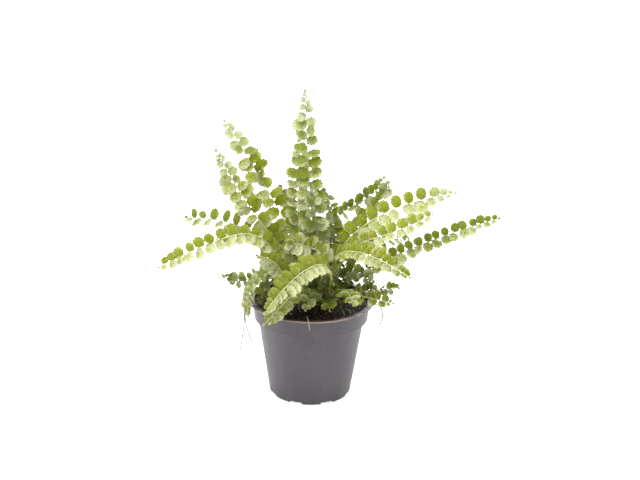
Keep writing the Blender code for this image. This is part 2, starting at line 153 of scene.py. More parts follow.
# A leaflet's tone, from pale 0, painted sheen of the bright room, to green 1, painted light coming through
# it.
# Low ones are greener, as painted shade that takes the sheen away, most of all inside the plant
TONE_MIDDLE = 0.38
TONE_SPREAD = 0.18
LOW_SHADE_GREENER = 0.15
INSIDE_SHADE_GREENER = 0.2
LOW_BAND = (110 * MM, 150 * MM)
INSIDE_BAND = (45 * MM, 65 * MM)
# The last leaflets of tall fronds are pale: as new growth, and, as they stand high against the bright room,
# as painted glare of backlight. A few below have withered a little
BACKLIT_BAND = (185 * MM, 200 * MM)
FRESH_SHARE = 0.75
SERE_BELOW = 170 * MM
SERE_CHANCE = 0.04
SERE_DEPTH = 0.7

# One leaflet, as shares of its length
LEAFLET_KINDS = 7
LEAFLET_MARGIN = 18
LEAFLET_NECK = 0.07
LEAFLET_RING = 0.55
LEAFLET_THICKNESS = 0.04
CRENATION = 0.065
SCALLOP_SPREAD = 0.03
LEAFLET_ARC = 314

# Leaf tissue: veins to a full turn, and the share of the light that comes through
VEIN_RAYS = 34.0
LIGHT_THROUGH = 0.42
DARKENING_COLOUR = "#989e70"
WITHERED = "#8e8c14"

# Leaves by age: four tones from those that shine back the sky to those lit through, the
# pale of veins and new leaflets, and the light that comes through the greenest
TONE_STOPS = (0.0, 0.34, 0.66, 1.0)
LEAF_COLOURS = {
    "young": (("#d4d8ac", "#bec27e", "#9da62c", "#909a00"), "#dce2c2", "#c4ce00"),
    "mature": (("#d0d4aa", "#a9ae6e", "#828c34", "#7e890c"), "#d2d8b6", "#b8c40a"),
    "old": (("#c8cca2", "#a8ae70", "#858f3e", "#7b870e"), "#bcc29a", "#acb812"),
}
# Stalks by age: at the soil, along the blade and at the tip
STALK_COLOURS = {
    "young": ("#6b5a2c", "#a9b65a", "#c8d48a"),
    "mature": ("#4e3f24", "#75823a", "#98a65a"),
    "old": ("#33281c", "#5f6b33", "#94a45a"),
}

# Runners and bare roots
RUNNER_RADIUS = 0.62 * MM
RUNNER_TIP_RADIUS = 0.5 * MM
RUNNER_SIDES = 6

# Fronds, in millimetres. Each row holds the ring radius and azimuth of the root, the two
# points that bend the rib, the tip, where the upper face looks (azimuth, elevation), the
# bare length of the stipe, a leaflet's length, how many degrees leaflets rise, and the age
FRONDS = {
    "tall_front": ((6, 60), (3, 4, 179), (-5, 8, 180), (-9, 20, 290), (-90, 10), 40, 12.5, 8, "mature"),
    "tall_back": ((7, 158), (-17, 10, 179), (-14, 29, 177), (-13, 51, 243), (-90, 10), 44, 11, 8, "mature"),
    "left_upper": (
        (13, 135), (-4, 8, 135), (-18, 30, 150), (-85, 50, 254), (-80, 15), 40, 11.5, 8, "young",
    ),
    "left_middle": ((17, 181), (4, 5, 138), (-32, 7, 119), (-90, 8, 235), (-80, 15), 36, 10.5, 8, "young"),
    "left_level": (
        (18, 150), (-27, 11, 151), (-69, 24, 166), (-122, 37, 161), (-95, 60), 40, 9.5, 25, "mature",
    ),
    "left_long": (
        (18, 190), (-42, -7, 186), (-63, -12, 169), (-141, -28, 134), (-85, 36), 38, 10.5, 8, "young",
    ),
    "left_short": (
        (20, 219), (-27, -22, 100), (-18, -36, 146), (-49, -52, 155), (-90, 35), 24, 9, 10, "young",
    ),
    "left_low": ((23, 178), (-30, -1, 153), (-58, -3, 92), (-84, -10, 121), (-100, 55), 28, 8.5, 10, "old"),
    "left_droop": (
        (22, 207), (-25, -12, 124), (-62, -28, 150), (-59, -37, 88), (-150, 70), 25, 8, 10, "old",
    ),
    "front_left": (
        (25, -60), (32, -50, 175), (-13, -61, 151), (-41, -63, 105), (-100, 45), 30, 11, 12, "young",
    ),
    "front_left_low": (
        (24, -119), (-9, -34, 125), (-16, -48, 117), (-42, -61, 93), (-90, 60), 22, 10, 10, "young",
    ),
    "front_centre": ((20, -93), (-1, -34, 122), (1, -43, 126), (-5, -57, 105), (90, 70), 18, 9, 10, "old"),
    "front_right_low": (
        (26, -45), (25, -20, 116), (33, -35, 123), (38, -58, 111), (90, 70), 24, 8.5, 10, "mature",
    ),
    "crossing": (
        (10, -78), (16, -33, 129), (32, -22, 152), (-24, -34, 162), (-90, 45), 34, 10, 12, "young",
    ),
    "centre_left": (
        (10, -155), (-9, -10, 111), (-5, -24, 133), (-25, -34, 157), (-95, 35), 26, 9.5, 10, "young",
    ),
    "centre_dark": ((8, -60), (6, -5, 178), (1, -12, 178), (0, -2, 205), (-90, 10), 30, 11, 10, "old"),
    "centre_slim": ((11, 50), (16, 15, 130), (32, 17, 158), (9, 20, 200), (-110, 15), 38, 7.5, 8, "mature"),
    "right_inner": ((15, 78), (6, 24, 200), (49, 50, 156), (69, 68, 195), (-90, 20), 50, 9.5, 10, "mature"),
    "right_upper": (
        (18, 50), (23, 20, 142), (48, 30, 153), (74, 38, 201), (-90, 20), 40, 9.5, 10, "mature",
    ),
    "right_level": ((13, 19), (14, 8, 176), (104, 3, 196), (130, -6, 203), (-90, 35), 44, 11, 12, "young"),
    "right_middle": (
        (15, -2), (37, -4, 176), (31, -18, 140), (108, -34, 191), (-90, 40), 42, 10, 12, "young",
    ),
    "right_long": ((20, 14), (26, 5, 110), (83, 10, 144), (174, 2, 177), (-90, 42), 38, 9.2, 12, "mature"),
    "right_front": (
        (25, -22), (8, 5, 128), (16, -19, 176), (88, -55, 138), (-80, 48), 32, 10.5, 12, "young",
    ),
    "right_low": ((30, -4), (38, 0, 110), (58, -10, 102), (83, -14, 114), (-80, 55), 16, 7.5, 10, "mature"),
    "right_short": ((24, 4), (29, 2, 127), (41, -4, 131), (59, -8, 111), (-80, 50), 16, 8.5, 10, "old"),
    "right_droop": (
        (32, -29), (31, -16, 111), (42, -28, 109), (75, -39, 106), (-70, 45), 20, 8, 10, "young",
    ),
    "left_inner": (
        (26, 186), (-28, -5, 118), (-42, -8, 124), (-48, -13, 97), (0, 70), 18, 8.5, 10, "mature",
    ),
    "front_inner": (
        (26, -71), (12, -33, 110), (14, -41, 111), (17, -53, 103), (90, 70), 20, 9, 10, "mature",
    ),
    "inner_left": (
        (10, 110), (-9, 9, 114), (-11, 40, 138), (-32, 66, 186), (-80, 15), 40, 9.5, 10, "mature",
    ),
    "back_left": (
        (20, 150), (-30, 18, 150), (-62, 48, 150), (-104, 78, 120), (-150, 60), 44, 10, 12, "mature",
    ),
    "back_left_inner": (
        (18, 125), (-26, 28, 145), (-50, 64, 150), (-72, 104, 114), (130, 60), 46, 10, 12, "old",
    ),
    "back_middle": ((17, 92), (-2, 26, 160), (2, 78, 150), (8, 122, 112), (90, 60), 46, 10.5, 12, "mature"),
    "back_right_inner": (
        (17, 65), (14, 28, 160), (40, 66, 152), (62, 104, 118), (60, 60), 46, 10, 12, "old",
    ),
    "back_right": ((22, 28), (34, 24, 146), (70, 48, 148), (108, 74, 124), (-40, 60), 44, 10, 12, "mature"),
}

# Wiry runners and bare roots, in millimetres: where each leaves the soil, and the points
# that it passes through on its way to its free end
RUNNERS = {
    "runner_right": (
        (44, -14), (50, -16, 95), (60, -19, 96.6), (65.5, -20, 94), (67.5, -20, 85),
        (65.5, -20, 76), (68, -20, 74),
    ),
    "runner_left_long": (
        (-48, -8), (-54, -9, 96), (-61, -10, 95.8), (-64, -10, 89), (-64, -10, 70),
        (-67.5, -10, 44),
    ),
    "runner_left_short": (
        (-46, -17), (-52, -19, 95.6), (-59, -22, 95.4), (-62, -23, 88), (-61, -24, 74),
        (-56, -25, 59),
    ),
    "runner_front": ((-4, -44), (-4, -50, 94), (-3, -57, 96.4), (-2, -62.5, 95), (-1, -63, 88)),
    "root_front_inner": ((26, -24), (27, -27, 97), (29, -34, 95.5), (31, -40, 93.8)),
    "root_front_outer": ((31, -26), (32, -28, 96), (35, -32, 95.4), (37, -36, 93.8)),
}

# How leaflets sit on a frond: the spacing of pairs as a share of a leaflet's length, a
# leaflet's width as a share of its room, its length as a share of the row's, how many
# degrees it may turn at random, and how much smaller the last ones are
HABITS = {
    "open": (0.76, 1.16, 1.2, 50, 0.72),
    "tall": (0.74, 1.08, 1.12, 45, 0.85),
    "strip": (0.62, 1.4, 1.18, 26, 0.7),
    "dense": (0.48, 1.3, 1.15, 20, 0.7),
    "broad": (0.96, 1.0, 1.25, 20, 0.75),
    "round": (0.92, 1.02, 1.05, 28, 0.5),
    "ruffled": (0.42, 1.9, 1.3, 80, 0.45),
    "feathery": (0.5, 1.3, 1.15, 75, 0.6),
    "narrow": (0.7, 1.2, 1.15, 60, 0.6),
    "upright": (1.05, 0.8, 1.55, 22, 0.4),
}
# On these the upper row is painted green all along, as light coming through, and the lower one painted pale,
# as sheen
ORDERED_HABITS = ("strip", "dense", "broad", "round", "upright")
# Every other frond is open
FROND_HABITS = {
    "tall_front": "tall", "tall_back": "tall", "left_long": "round", "left_short": "strip",
    "front_left": "dense", "front_left_low": "strip", "right_front": "dense",
    "right_middle": "round", "right_level": "broad", "left_droop": "strip",
    "left_low": "feathery", "right_low": "feathery", "right_droop": "feathery",
    "left_inner": "ruffled", "crossing": "ruffled", "centre_left": "ruffled",
    "front_right_low": "feathery", "inner_left": "narrow", "left_level": "upright",
    "right_long": "round", "right_upper": "narrow", "right_inner": "narrow",
}
# Fronds painted greener (above 0), as more lit through, or paler (below 0), as more sheen, than the rest of
# their age
FROND_SHADES = {
    "crossing": -0.4, "centre_left": -0.2, "right_middle": -0.5, "right_short": -0.45,
    "front_centre": -0.2, "right_level": 0.2, "right_long": 0.2, "right_low": -0.2,
    "left_low": -0.4, "front_right_low": 0.15, "left_upper": 0.1, "front_left": 0.1,
}


def linear(hex_code):
    """An sRGB hex value as linear red, green, blue and alpha."""
    parts = [int(hex_code[k : k + 2], 16) / 255 for k in (1, 3, 5)]
    lit = [c / 12.92 if c <= 0.04045 else ((c + 0.055) / 1.055) ** 2.4 for c in parts]
    return (*lit, 1.0)


def feed(node, inputs):
    """Sets inputs of a node: each is a link from a node or one of its sockets, or a value."""
    for key, value in inputs.items():
        if isinstance(value, bpy.types.Node):
            value = next(socket for socket in value.outputs if socket.enabled)
        if isinstance(value, bpy.types.NodeSocket):
            node.id_data.links.new(value, node.inputs[key])
        else:
            node.inputs[key].default_value = value


def add(tree, kind, inputs=None, stops=None, **settings):
    """Adds a node with its settings and links. A Color Ramp's stops are (place, hex) pairs."""
    made = tree.nodes.new(kind)
    for key, value in settings.items():
        setattr(made, key, value)
    feed(made, inputs or {})
    if stops:
        first, *between, last = stops
        points = made.color_ramp.elements
        for point, (place, colour) in zip(points, (first, last)):
            point.position, point.color = place, linear(colour)
        for place, colour in between:
            points.new(place).color = linear(colour)
    return made


def polar(radius, azimuth, height=0.0):
    """A point at this radius and azimuth, in degrees, round the pot's axis."""
    angle = math.radians(azimuth)
    return Vector((radius * math.cos(angle), radius * math.sin(angle), height))


def unit(v):
    return v / np.linalg.norm(v)


def square_to(v, heading):
    """The part of v that stands square to the heading, one unit long."""
    return unit(v - np.dot(v, heading) * heading)


def show(name, data):
    """A new object of this data, linked into the scene."""
    made = bpy.data.objects.new(name, data)
    bpy.context.scene.collection.objects.link(made)
    return made


def as_mesh(name, shape):
    """The shape as a mesh."""
    mesh = bpy.data.meshes.new(name)
    shape.to_mesh(mesh)
    shape.free()
    return mesh


def new_collection(name):
    made = bpy.data.collections.new(name)
    bpy.context.scene.collection.children.link(made)
    return made


def clear(collection):
    """Removes a collection of helping shapes once they are used."""
    for spent in list(collection.objects):
        bpy.data.objects.remove(spent)
    bpy.data.collections.remove(collection)


def finished(made):
    """The plain mesh that the object's modifiers give. The object itself is removed."""
    bpy.context.view_layer.update()
    result = bpy.data.meshes.new_from_object(made.evaluated_get(bpy.context.evaluated_depsgraph_get()))
    bpy.data.objects.remove(made)
    return result


def new_material(name):
    """A Principled material: itself, what adds a node to it, and its shader."""
    made = bpy.data.materials.new(name)
    made.use_nodes = True
    return made, partial(add, made.node_tree), made.node_tree.nodes["Principled BSDF"]


def leaf_material(name, tones, pale, through):
    """Living fern leaf: thin green tissue under a waxy skin, lit through from behind."""
    made, node, shader = new_material(name)
    place = node("ShaderNodeTexCoord").outputs["Object"]
    leaf = node("ShaderNodeUVMap", uv_map="UVMap")
    tone, new_and_backlit, rim, sere, side = (
        node("ShaderNodeAttribute", attribute_name=mark).outputs["Fac"]
        for mark in ("tone", "new_and_backlit", "rim", "sere", "side")
    )
    # Mottling about 1.5 mm across
    mottle = node("ShaderNodeTexNoise", {"Vector": place, "Scale": 650.0, "Detail": 4.0, "Roughness": 0.65})
    shift = node("ShaderNodeMath", {0: mottle, 1: 1.9, 2: -0.95}, operation="MULTIPLY_ADD")
    varied = node("ShaderNodeMath", {0: tone, 1: shift}, operation="ADD")
    # Painted light: a leaflet is painted greenest, as lit through, at its heart and on its side towards the
    # frond's tip, and paler, as sheen, towards its rim
    heart = node("ShaderNodeVectorMath", {0: leaf, 1: (0.5, 0.5, 0.0)}, operation="DISTANCE")
    lit_heart = node(
        "ShaderNodeMapRange",
        {"Value": heart, "From Min": 0.14, "From Max": 0.46, "To Min": 0.22, "To Max": -0.22},
    )
    across = node("ShaderNodeSeparateXYZ", {"Vector": leaf})
    from_middle = node("ShaderNodeMath", {0: across, 1: 0.5}, operation="SUBTRACT")
    to_tip = node("ShaderNodeMath", {0: from_middle, 1: side}, operation="MULTIPLY")
    painted_light_slope = node("ShaderNodeMath", {0: to_tip, 1: 1.1, 2: lit_heart}, operation="MULTIPLY_ADD")
    spot = node("ShaderNodeMath", {0: varied, 1: painted_light_slope}, operation="ADD")
    green = node("ShaderNodeValToRGB", {"Fac": spot}, stops=zip(TONE_STOPS, tones))
    young = node("ShaderNodeMix", {"Factor": new_and_backlit, "A": green, "B": linear(pale)}, data_type="RGBA")
    aged = node("ShaderNodeMix", {"Factor": sere, "A": young, "B": linear(WITHERED)}, data_type="RGBA")
    # Veins fan out from the leaflet's foot, and are a little paler
    fan = node("ShaderNodeMath", {0: from_middle, 1: across.outputs["Y"]}, operation="ARCTAN2")
    beat = node("ShaderNodeMath", {0: fan, 1: VEIN_RAYS}, operation="MULTIPLY")
    wave = node("ShaderNodeMath", {0: beat}, operation="COSINE")
    vein = node("ShaderNodeMapRange", {"Value": wave, "From Min": 0.3, "From Max": 1.0, "To Max": 0.2})
    veined = node("ShaderNodeMix", {"Factor": vein, "A": aged, "B": linear(pale)}, data_type="RGBA")
    relief = node("ShaderNodeMath", {0: mottle, 1: 3.0, 2: wave}, operation="MULTIPLY_ADD")
    bump = node("ShaderNodeBump", {"Strength": 0.7, "Distance": 0.25 * MM, "Height": relief})
    rough = node("ShaderNodeMapRange", {"Value": mottle, "To Min": 0.34, "To Max": 0.52})
    # Light comes through it yellower, and paler at the tips of tall fronds, as new growth and painted
    # backlight glare
    lit_stops = ((0.0, "#e6e9c4"), (0.5, "#d2da78"), (1.0, through))
    lit = node("ShaderNodeValToRGB", {"Fac": spot}, stops=lit_stops)
    light = node("ShaderNodeMix", {"Factor": new_and_backlit, "A": lit, "B": linear("#e6ebd4")}, data_type="RGBA")
    # Darker along the scalloped margin, and in blotches 2 mm across
    edge = node("ShaderNodeMapRange", {"Value": rim, "From Min": 0.6, "From Max": 1.0, "To Max": 0.6})
    blotch = node("ShaderNodeTexNoise", {"Vector": place, "Scale": 480.0, "Detail": 5.0, "Roughness": 0.7})
    patch = node("ShaderNodeMapRange", {"Value": blotch, "From Min": 0.46, "From Max": 0.68, "To Max": 0.62})
    darkening = node("ShaderNodeMath", {0: edge, 1: patch}, operation="MAXIMUM")
    colour, glow_colour = (
        node(
            "ShaderNodeMix",
            {"Factor": darkening, "A": undarkened, "B": linear(DARKENING_COLOUR)},
            data_type="RGBA",
            blend_type="MULTIPLY",
        )
        for undarkened in (veined, light)
    )
    feed(shader, {"Base Color": colour, "Roughness": rough, "Normal": bump, "Specular IOR Level": 0.3})
    glow = node("ShaderNodeBsdfTranslucent", {"Color": glow_colour, "Normal": bump})
    both = node("ShaderNodeMixShader", {"Fac": LIGHT_THROUGH, 1: shader, 2: glow})
    feed(made.node_tree.nodes["Material Output"], {"Surface": both})
    return made


def strand_material(name, flecks, roughness, stops):
    """A strand whose colour runs from its foot to its tip, broken up by flecks."""
    made, node, shader = new_material(name)
    place = node("ShaderNodeTexCoord").outputs["Object"]
    share = node("ShaderNodeAttribute", attribute_name="share").outputs["Fac"]
    fleck = node("ShaderNodeTexNoise", {"Vector": place, "Scale": flecks, "Detail": 2.0})
    shift = node("ShaderNodeMath", {0: fleck, 1: 0.3, 2: -0.15}, operation="MULTIPLY_ADD")
    spot = node("ShaderNodeMath", {0: share, 1: shift}, operation="ADD")
    colour = node("ShaderNodeValToRGB", {"Fac": spot}, stops=stops)
    feed(shader, {"Base Color": colour, "Roughness": roughness})
    return made


def stalk_material(name, foot, blade, tip):
    """Wiry fern stalk: smooth skin with 2 mm flecks of scale, brown at the soil, then green."""
    return strand_material(name, 480.0, 0.42, ((0.0, foot), (0.28, blade), (1.0, tip)))


def runner_material():
    """Dry runner: a dull straw-coloured strand with 2 mm streaks, browner towards the soil."""
    return strand_material("dry_runner", 500.0, 0.6, ((0.0, "#8a7f58"), (0.5, "#7f7a5c"), (1.0, "#86826a")))


def pot_material():
    """Recycled polypropylene, injection-moulded: a satin skin with faint streaks and dust."""
    made, node, shader = new_material("polypropylene_moulded")
    place = node("ShaderNodeTexCoord").outputs["Object"]
    # Flow marks of the moulding run up the wall, some 15 mm wide
    tall = node("ShaderNodeMapping", {"Vector": place, "Scale": (1.0, 1.0, 0.25)})
    flow = node("ShaderNodeTexNoise", {"Vector": tall, "Scale": 65.0, "Detail": 4.0})
    body = node("ShaderNodeValToRGB", {"Fac": flow}, stops=((0.3, "#353136"), (0.7, "#403b40")))
    # Dry dust in smudges about 7 mm across
    smudge = node("ShaderNodeTexNoise", {"Vector": place, "Scale": 140.0, "Detail": 6.0, "Roughness": 0.7})
    dust = node("ShaderNodeMapRange", {"Value": smudge, "From Min": 0.55, "From Max": 0.8, "To Max": 0.25})
    dusty = node("ShaderNodeMix", {"Factor": dust, "A": body, "B": linear("#69625f")}, data_type="RGBA")
    rough = node("ShaderNodeMapRange", {"Value": smudge, "To Min": 0.36, "To Max": 0.56})
    # The lip's edge is painted pale: scuffed, and with a painted highlight along it
    height = node("ShaderNodeSeparateXYZ", {"Vector": place}).outputs["Z"]
    highlight_from, highlight_to = POT_HEIGHT - 1.2 * MM, POT_HEIGHT - 0.2 * MM
    scuff_and_highlight = node(
        "ShaderNodeMapRange",
        {"Value": height, "From Min": highlight_from, "From Max": highlight_to, "To Max": 0.75},
    )
    scuffed_and_highlit = node("ShaderNodeMix", {"Factor": scuff_and_highlight, "A": dusty, "B": linear("#96857e")}, data_type="RGBA")
    # Peat lies on the inner part of its flat top, with a ragged outline
    flat = node("ShaderNodeVectorMath", {0: place, 1: (1.0, 1.0, 0.0)}, operation="MULTIPLY")
    radius = node("ShaderNodeVectorMath", {0: flat}, operation="LENGTH")
    grit = node("ShaderNodeTexNoise", {"Vector": place, "Scale": 420.0, "Detail": 4.0})
    ragged = node("ShaderNodeMath", {0: grit, 1: -2.4 * MM, 2: radius}, operation="MULTIPLY_ADD")
    strewn = node("ShaderNodeMapRange", {"Value": ragged, "From Min": 57.3 * MM, "From Max": 56.9 * MM})
    on_top = node("ShaderNodeMath", {0: height, 1: POT_HEIGHT - 0.6 * MM}, operation="GREATER_THAN")
    cover = node("ShaderNodeMath", {0: strewn, 1: on_top}, operation="MULTIPLY")
    peat_stops = ((0.3, "#1c100e"), (0.55, "#3a241e"), (0.7, "#6a4a3e"))
    peat = node("ShaderNodeValToRGB", {"Fac": grit}, stops=peat_stops)
    colour = node("ShaderNodeMix", {"Factor": cover, "A": scuffed_and_highlit, "B": peat}, data_type="RGBA")
    # The mould's fine texture is about 0.1 mm, drawn at 0.6 mm so that it can show
    grain = node("ShaderNodeTexNoise", {"Vector": place, "Scale": 1600.0, "Detail": 1.0})
    bump = node("ShaderNodeBump", {"Strength": 0.12, "Distance": 0.05 * MM, "Height": grain})
    feed(shader, {"Base Color": colour, "Roughness": rough, "Normal": bump, "IOR": 1.49})
    return made


def soil_material():
    """Peat potting soil, damp: nearly black, with tan fibre and a few white grains."""
    made, node, shader = new_material("potting_peat_damp")
    place = node("ShaderNodeTexCoord").outputs["Object"]
    tone = node("ShaderNodeAttribute", attribute_name="tone").outputs["Fac"]
    # Stains between 2 and 3 mm across
    stain = node("ShaderNodeTexNoise", {"Vector": place, "Scale": 420.0, "Detail": 4.0})
    shift = node("ShaderNodeMath", {0: stain, 1: 0.3, 2: -0.15}, operation="MULTIPLY_ADD")
    spot = node("ShaderNodeMath", {0: tone, 1: shift}, operation="ADD")
    stops = (
        (0.0, "#150c0a"), (0.35, "#271713"), (0.66, "#422a22"),
        (0.88, "#6e4f42"), (0.97, "#b79a8c"), (1.0, "#efe8dc"),
    )
    colour = node("ShaderNodeValToRGB", {"Fac": spot}, stops=stops)
    bump = node("ShaderNodeBump", {"Strength": 0.6, "Distance": 0.3 * MM, "Height": stain})
    feed(shader, {"Base Color": colour, "Roughness": 0.85, "Normal": bump})
    return made


def paper_material():
    """Matt white background paper, lit from below so that it stays white round the pot."""
    made, _, shader = new_material("background_paper")
    feed(shader, {"Base Color": linear("#cfcfcf"), "Roughness": 0.9})
    feed(shader, {"Emission Color": linear("#ffffff"), "Emission Strength": PAPER_GLOW})
    return made


def add_camera():
    """The photo's camera: a long lens, a little above the plant, turned a little."""
    pitch, yaw, roll = (math.radians(a) for a in (CAMERA_PITCH, CAMERA_YAW, CAMERA_ROLL))
    ahead = Vector((math.sin(yaw) * math.cos(pitch), math.cos(yaw) * math.cos(pitch), math.sin(pitch)))
    level = Vector((math.cos(yaw), -math.sin(yaw), 0.0))
    upright = level.cross(ahead)
    right = math.cos(roll) * level + math.sin(roll) * upright
    up = math.cos(roll) * upright - math.sin(roll) * level
    made = show("camera", bpy.data.cameras.new("camera"))
    made.data.lens = CAMERA_LENS
    made.data.sensor_width = SENSOR_WIDTH
    turn = Matrix((right, up, -ahead)).transposed()
    made.matrix_world = Matrix.Translation(CAMERA_PLACE) @ turn.to_4x4()
    bpy.context.scene.camera = made


def add_softbox(name, place, size, power):
    """A square softbox that looks at the middle of the plant."""
    lamp = bpy.data.lights.new(name, "AREA")
    lamp.shape = "SQUARE"
    lamp.size = size
    lamp.energy = power
    made = show(name, lamp)
    made.location = place
    made.rotation_euler = (Vector(LAMP_AIM) - Vector(place)).to_track_quat("-Z", "Y").to_euler()


def add_studio():
    """White paper under the pot, a bright room, and soft light from above, behind and the left."""
    shape = bmesh.new()
    bmesh.ops.create_grid(shape, x_segments=1, y_segments=1, size=PAPER_REACH)
    mesh = as_mesh("background_paper", shape)
    mesh.materials.append(paper_material())
    show("background_paper", mesh)
    world = bpy.data.worlds.new("bright_room")
    world.use_nodes = True
    feed(world.node_tree.nodes["Background"], {"Color": linear("#ffffff"), "Strength": ROOM_LIGHT})
    bpy.context.scene.world = world
    for name, lamp in SOFTBOXES.items():
        add_softbox(name, *lamp)
    bpy.context.scene.view_settings.view_transform = "Standard"


def add_piece(name, mesh, node, slot, *finishes):
    """Links a finished mesh as one piece on the root body, in place of its CAD node."""
    for finish in finishes:
        mesh.materials.append(finish)
    made = show(name, mesh)
    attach(made, "root")
    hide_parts(node)


def new_tree(name, inputs):
    """Geometry nodes with these inputs: the tree, what adds a node to it, and its inputs."""
    tree = bpy.data.node_groups.new(name, "GeometryNodeTree")
    sockets = [("Geometry", "INPUT", "Geometry")]
    sockets += [(title, "INPUT", kind) for title, kind in inputs.items()]
    sockets += [("Geometry", "OUTPUT", "Geometry")]
    for title, way, kind in sockets:
        tree.interface.new_socket(title, in_out=way, socket_type="NodeSocket" + kind)
    return tree, partial(add, tree), add(tree, "NodeGroupInput").outputs


def grown(name, seed_mesh, tree, settings):
    """The plain mesh that a tree of geometry nodes grows from the seed mesh."""
    made = show(name, seed_mesh)
    rule = made.modifiers.new("growth", "NODES")
    rule.node_group = tree
    for socket in tree.interface.items_tree:
        if getattr(socket, "in_out", "") == "INPUT" and socket.name in settings:
            rule[socket.identifier] = settings[socket.name]
    return finished(made)


def inner_radius(height):
    """The radius of the pot's inner wall at this height."""
    if height >= COLLAR_FOOT:
        share = (height - COLLAR_FOOT) / (POT_HEIGHT - LIP_THICKNESS - COLLAR_FOOT)
        outer = COLLAR_FOOT_RADIUS + share * (COLLAR_TOP_RADIUS - COLLAR_FOOT_RADIUS)
    else:
        outer = BODY_FOOT_RADIUS + height / COLLAR_FOOT * (BODY_TOP_RADIUS - BODY_FOOT_RADIUS)
    return outer - WALL


def rounded(profile):
    """The profile with each inner corner turned into a small arc."""
    made = [profile[0]]
    for before, corner, after in zip(profile, profile[1:], profile[2:]):
        before, corner, after = Vector(before), Vector(corner), Vector(after)
        reach = min(EDGE_ROUNDING, (before - corner).length / 2.5, (after - corner).length / 2.5)
        start = corner + reach * (before - corner).normalized()
        end = corner + reach * (after - corner).normalized()
        for k in range(ARC_STEPS + 1):
            t = k / ARC_STEPS
            made.append(tuple((1 - t) ** 2 * start + 2 * t * (1 - t) * corner + t**2 * end))
    return [*made, profile[-1]]


def pot_profile():
    """Radius and height along the pot's wall, from under its middle round to its floor."""
    lip_underside = POT_HEIGHT - LIP_THICKNESS
    return (
        (0, 0),
        (BOSS_RADIUS, 0),
        (BOSS_RADIUS, FLOOR_UNDERSIDE),
        (BODY_FOOT_RADIUS - FOOT_RING, FLOOR_UNDERSIDE),
        (BODY_FOOT_RADIUS - FOOT_RING, 0),
        (BODY_FOOT_RADIUS - FOOT_CHAMFER[0], 0),
        (BODY_FOOT_RADIUS, FOOT_CHAMFER[1]),
        (BODY_TOP_RADIUS, COLLAR_FOOT - STEP_SLOPE),
        (COLLAR_FOOT_RADIUS, COLLAR_FOOT),
        (COLLAR_TOP_RADIUS, lip_underside),
        (LIP_RADIUS, lip_underside),
        (LIP_RADIUS, POT_HEIGHT),
        (COLLAR_TOP_RADIUS - WALL, POT_HEIGHT),
        *((inner_radius(height), height) for height in (STEP_TOP, STEP_FOOT, FLOOR_TOP)),
        (0, FLOOR_TOP),
    )


def pot_tools():
    """What cuts the notches out of the foot ring and the drain holes out of the floor."""
    tools = new_collection("pot_tools")
    shapes = []
    for k in range(NOTCHES):
        azimuth = FIRST_NOTCH + k * 360 / NOTCHES
        shape = bmesh.new()
        bmesh.ops.create_cube(shape, size=1.0)
        bmesh.ops.scale(shape, vec=(6 * MM, NOTCH_WIDTH, 2 * NOTCH_HEIGHT), verts=shape.verts)
        place = Matrix.Translation(polar(BODY_FOOT_RADIUS, azimuth))
        place @= Matrix.Rotation(math.radians(azimuth), 4, "Z")
        bmesh.ops.transform(shape, matrix=place, verts=shape.verts)
        shapes.append(shape)
    for k in range(DRAIN_HOLES):
        centre = polar(DRAIN_RING_RADIUS, k * 360 / DRAIN_HOLES, FLOOR_UNDERSIDE)
        shape = bmesh.new()
        bmesh.ops.create_cone(
            shape,
            cap_ends=True,
            segments=24,
            radius1=DRAIN_HOLE_RADIUS,
            radius2=DRAIN_HOLE_RADIUS,
            depth=10 * MM,
            matrix=Matrix.Translation(centre),
        )
        shapes.append(shape)
    for shape in shapes:
        tools.objects.link(bpy.data.objects.new("tool", as_mesh("tool", shape)))
    return tools


def build_pot(finish):
    """The moulded pot with its edges rounded, its notches and its drain holes."""
    shape = bmesh.new()
    chain = [shape.verts.new((radius, 0, height)) for radius, height in rounded(pot_profile())]
    edges = [shape.edges.new(pair) for pair in zip(chain, chain[1:])]
    bmesh.ops.spin(
        shape,
        geom=chain + edges,
        cent=(0, 0, 0),
        axis=(0, 0, 1),
        angle=2 * math.pi,
        steps=POT_TURNS,
        use_merge=True,
    )
    bmesh.ops.remove_doubles(shape, verts=shape.verts, dist=0.005 * MM)
    bmesh.ops.recalc_face_normals(shape, faces=shape.faces)
    body = show("pot_moulding", as_mesh("pot_moulding", shape))
    tools = pot_tools()
    cut = body.modifiers.new("cut", "BOOLEAN")
    cut.operation = "DIFFERENCE"
    cut.operand_type = "COLLECTION"
    cut.collection = tools
    cut.solver = "EXACT"
    result = finished(body)
    clear(tools)
    result.shade_smooth()
    result.set_sharp_from_angle(angle=math.radians(SHARP_ANGLE))
    result.materials.clear()
    add_piece("pot_moulding", result, "pot", "pot_plastic", finish)


def soil_height(x, y):
    """The top of the soil: a low dome with clods and grains."""
    share = min(1.0, math.hypot(x, y) / inner_radius(SOIL_EDGE))
    dome = SOIL_EDGE + (SOIL_CROWN - SOIL_EDGE) * (1 - share**2)
    clods = CLOD_HEIGHT * noise.noise(Vector((x, y, 0)) / CLOD_SIZE)
    grains = GRAIN_HEIGHT * noise.noise(Vector((x, y, 0.1)) / GRAIN_SIZE)
    return dome + clods + grains


def store(mesh, name, values):
    """Writes an attribute: a number or a vector for each point."""
    values = np.asarray(values, np.float32)
    kind, field = ("FLOAT_VECTOR", "vector") if values.ndim == 2 else ("FLOAT", "value")
    mesh.attributes.new(name, kind, "POINT").data.foreach_set(field, values.ravel())


